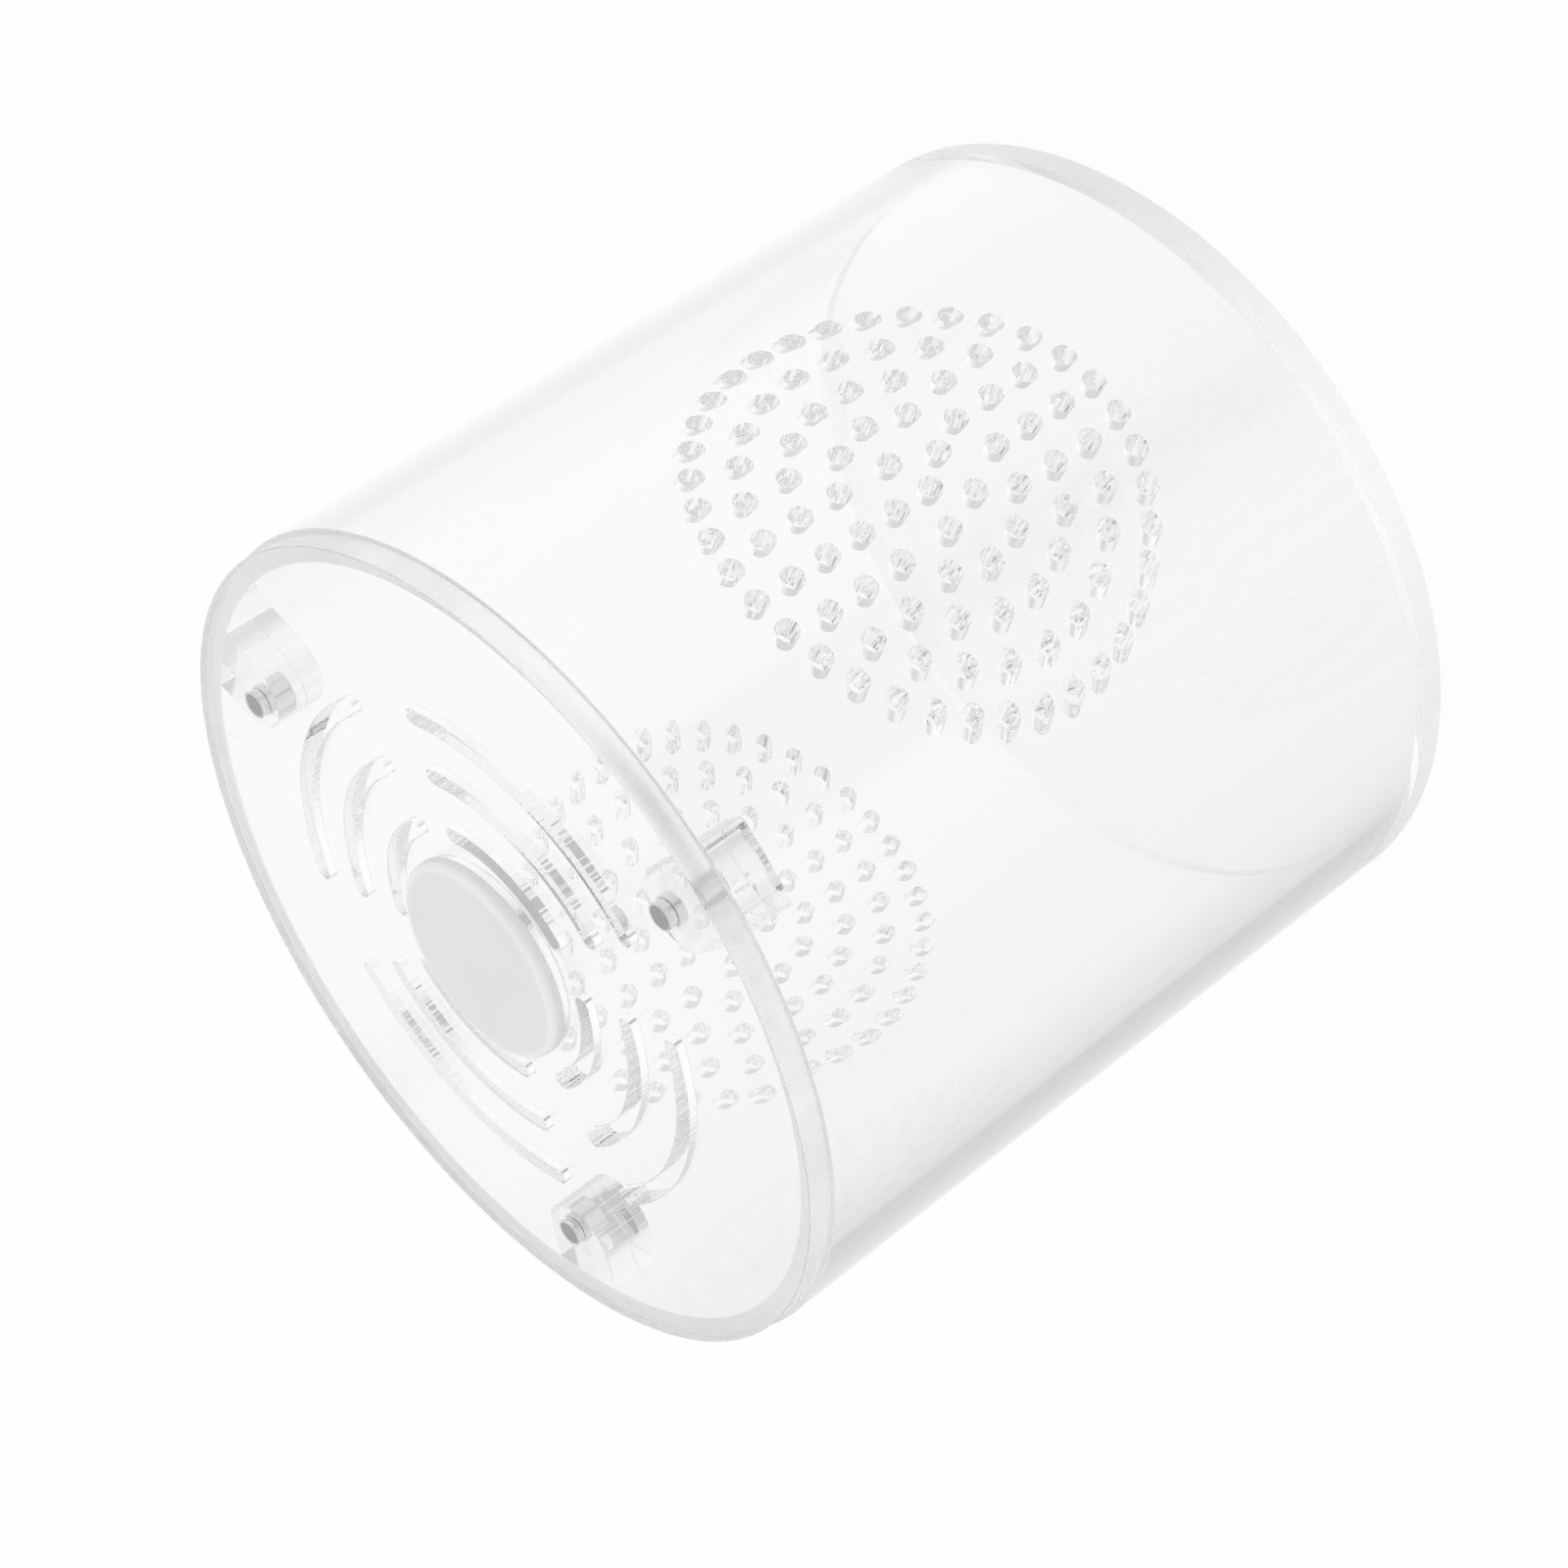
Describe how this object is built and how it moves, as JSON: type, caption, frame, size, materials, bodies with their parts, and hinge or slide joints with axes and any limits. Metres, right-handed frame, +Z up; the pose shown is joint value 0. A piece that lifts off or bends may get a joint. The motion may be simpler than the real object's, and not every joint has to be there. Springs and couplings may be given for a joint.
{
  "type": "jumping spider enclosure",
  "caption": "Clear round enclosure with drilled vent fields, a slotted lid held by magnets, and a soft feeding plug.",
  "frame": {"origin": "centre of the base's underside, where the enclosure stands", "axes": "+Z up along the tube's axis, -Y through the middle of the front vent field, +X to the right"},
  "size_m": [0.101, 0.101, 0.1007],
  "materials": {
    "clear_acrylic": "clear polished acrylic with laser-cut edges",
    "soft_silicone": "milky matt silicone",
    "plated_magnet": "bright nickel plate"
  },
  "bodies": {
    "enclosure": {"tube_wall": "clear_acrylic", "base_plate": "clear_acrylic", "magnet_block_1": "clear_acrylic", "magnet_block_2": "clear_acrylic", "magnet_block_3": "clear_acrylic", "block_magnet_1": "plated_magnet", "block_magnet_2": "plated_magnet", "block_magnet_3": "plated_magnet"},
    "lid": {"lid_plate": "clear_acrylic", "lid_magnet_1": "plated_magnet", "lid_magnet_2": "plated_magnet", "lid_magnet_3": "plated_magnet"},
    "plug": {"feeding_plug": "soft_silicone"}
  },
  "joints": [
    {"name": "lid_lift", "type": "slide", "parent": "enclosure", "child": "lid", "axis": [0, 0, 1], "range_m": [0, 0.1]},
    {"name": "plug_pull", "type": "slide", "parent": "lid", "child": "plug", "axis": [0, 0, 1], "range_m": [0, 0.03]}
  ]
}
